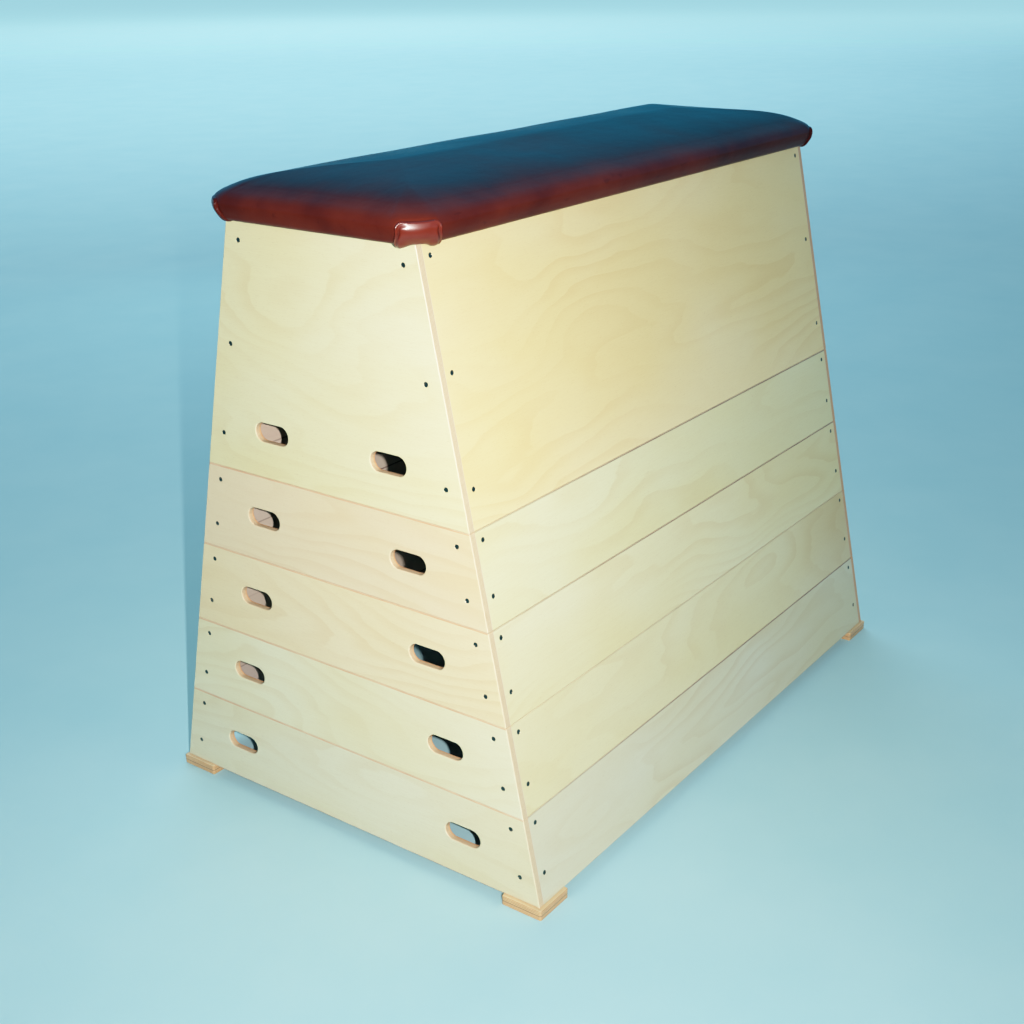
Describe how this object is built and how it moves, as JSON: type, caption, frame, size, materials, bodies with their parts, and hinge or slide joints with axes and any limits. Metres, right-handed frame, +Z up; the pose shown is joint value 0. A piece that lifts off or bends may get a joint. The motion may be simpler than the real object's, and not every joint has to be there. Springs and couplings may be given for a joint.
{
  "type": "vaulting box",
  "caption": "Gymnastics vaulting box of stacked plywood sections that lift off one another, leaning in to a padded leather top, with hand slots in the ends and corner feet.",
  "frame": {"origin": "on the floor under the centre of the box", "axes": "+X along the long sides (ends at -X left and +X right), +Y across (long sides at -Y front and +Y back), +Z up"},
  "size_m": [1.245, 0.814, 1.1],
  "materials": {
    "birch_plywood": "satin lacquered birch plywood, grain along the boards",
    "deck_plywood": "raw birch plywood",
    "post_wood": "planed softwood",
    "foot_plywood": "lacquered plywood, layers visible",
    "screw_steel": "blackened steel",
    "tack_steel": "dull steel",
    "foam": "dense foam padding",
    "leather": "smooth glossy red-brown leather"
  },
  "bodies": {
    "base_section": {"base_end_panel_left": "birch_plywood", "base_end_panel_right": "birch_plywood", "base_side_panel_front": "birch_plywood", "base_side_panel_back": "birch_plywood", "base_post_front_left": "post_wood", "base_post_front_right": "post_wood", "base_post_back_left": "post_wood", "base_post_back_right": "post_wood", "base_screws": "screw_steel", "foot_front_left": "foot_plywood", "foot_front_right": "foot_plywood", "foot_back_left": "foot_plywood", "foot_back_right": "foot_plywood", "foot_screws": "screw_steel"},
    "section_4": {"section4_end_panel_left": "birch_plywood", "section4_end_panel_right": "birch_plywood", "section4_side_panel_front": "birch_plywood", "section4_side_panel_back": "birch_plywood", "section4_post_front_left": "post_wood", "section4_post_front_right": "post_wood", "section4_post_back_left": "post_wood", "section4_post_back_right": "post_wood", "section4_screws": "screw_steel"},
    "section_3": {"section3_end_panel_left": "birch_plywood", "section3_end_panel_right": "birch_plywood", "section3_side_panel_front": "birch_plywood", "section3_side_panel_back": "birch_plywood", "section3_post_front_left": "post_wood", "section3_post_front_right": "post_wood", "section3_post_back_left": "post_wood", "section3_post_back_right": "post_wood", "section3_screws": "screw_steel"},
    "section_2": {"section2_end_panel_left": "birch_plywood", "section2_end_panel_right": "birch_plywood", "section2_side_panel_front": "birch_plywood", "section2_side_panel_back": "birch_plywood", "section2_post_front_left": "post_wood", "section2_post_front_right": "post_wood", "section2_post_back_left": "post_wood", "section2_post_back_right": "post_wood", "section2_screws": "screw_steel"},
    "top_section": {"top_end_panel_left": "birch_plywood", "top_end_panel_right": "birch_plywood", "top_side_panel_front": "birch_plywood", "top_side_panel_back": "birch_plywood", "top_post_front_left": "post_wood", "top_post_front_right": "post_wood", "top_post_back_left": "post_wood", "top_post_back_right": "post_wood", "top_screws": "screw_steel", "deck_board": "deck_plywood", "deck_batten_left": "post_wood", "deck_batten_right": "post_wood", "deck_screws": "screw_steel", "foam_pad": "foam", "leather_cover": "leather", "cover_tacks": "tack_steel"}
  },
  "joints": [
    {"name": "section_4_lift", "type": "slide", "parent": "base_section", "child": "section_4", "axis": [0, 0, 1], "range_m": [0, 0.2]},
    {"name": "section_3_lift", "type": "slide", "parent": "section_4", "child": "section_3", "axis": [0, 0, 1], "range_m": [0, 0.2]},
    {"name": "section_2_lift", "type": "slide", "parent": "section_3", "child": "section_2", "axis": [0, 0, 1], "range_m": [0, 0.2]},
    {"name": "top_section_lift", "type": "slide", "parent": "section_2", "child": "top_section", "axis": [0, 0, 1], "range_m": [0, 0.2]}
  ]
}
